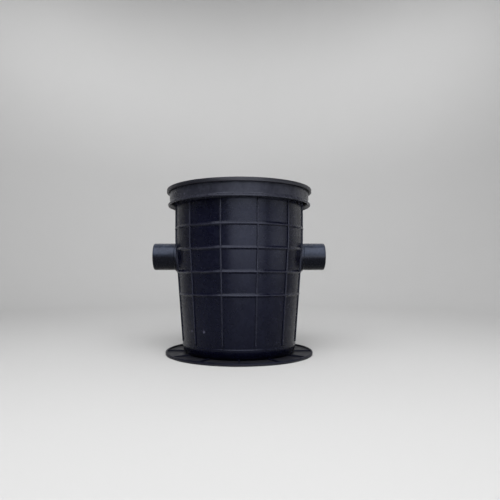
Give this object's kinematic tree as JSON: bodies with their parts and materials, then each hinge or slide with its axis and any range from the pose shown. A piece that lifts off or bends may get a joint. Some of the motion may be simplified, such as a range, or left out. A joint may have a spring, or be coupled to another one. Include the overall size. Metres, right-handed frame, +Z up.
{
  "type": "grease trap",
  "caption": "Bucket-type grease trap: ribbed tapered plastic tank with two pipe spigots, base flange, push-on lid, inlet bend, outlet tee with dip pipe and a lift-out solids basket.",
  "frame": {"origin": "on the tank's axis at the base plane, where it stands", "axes": "+Z up, +X along the outlet spigot, -X along the inlet spigot, -Y to the front"},
  "size_m": [0.384, 0.33, 0.3658],
  "materials": {
    "tank_plastic": "satin moulded",
    "lid_plastic": "satin moulded",
    "fitting_plastic": "matt moulded",
    "basket_plastic": "matt moulded",
    "seal_rubber": "matt",
    "bail_steel": "drawn wire"
  },
  "bodies": {
    "tank": {"tank_body": "tank_plastic", "inlet_bend": "fitting_plastic", "inlet_seal": "seal_rubber", "outlet_tee": "fitting_plastic", "outlet_seal": "seal_rubber", "dip_pipe": "fitting_plastic", "dip_pipe_seal": "seal_rubber", "strainer_basket": "basket_plastic"},
    "lid": {"lid": "lid_plastic", "lid_seal": "seal_rubber"},
    "bail": {"basket_bail": "bail_steel"}
  },
  "joints": [
    {"name": "lid_lift", "type": "slide", "parent": "tank", "child": "lid", "axis": [0, 0, 1], "range_m": [0, 0.2]},
    {"name": "bail_swing", "type": "hinge", "parent": "tank", "child": "bail", "pos_m": [-0.06762, 0, 0.1203], "axis": [0, -1, 0], "range_deg": [0, 180]}
  ]
}
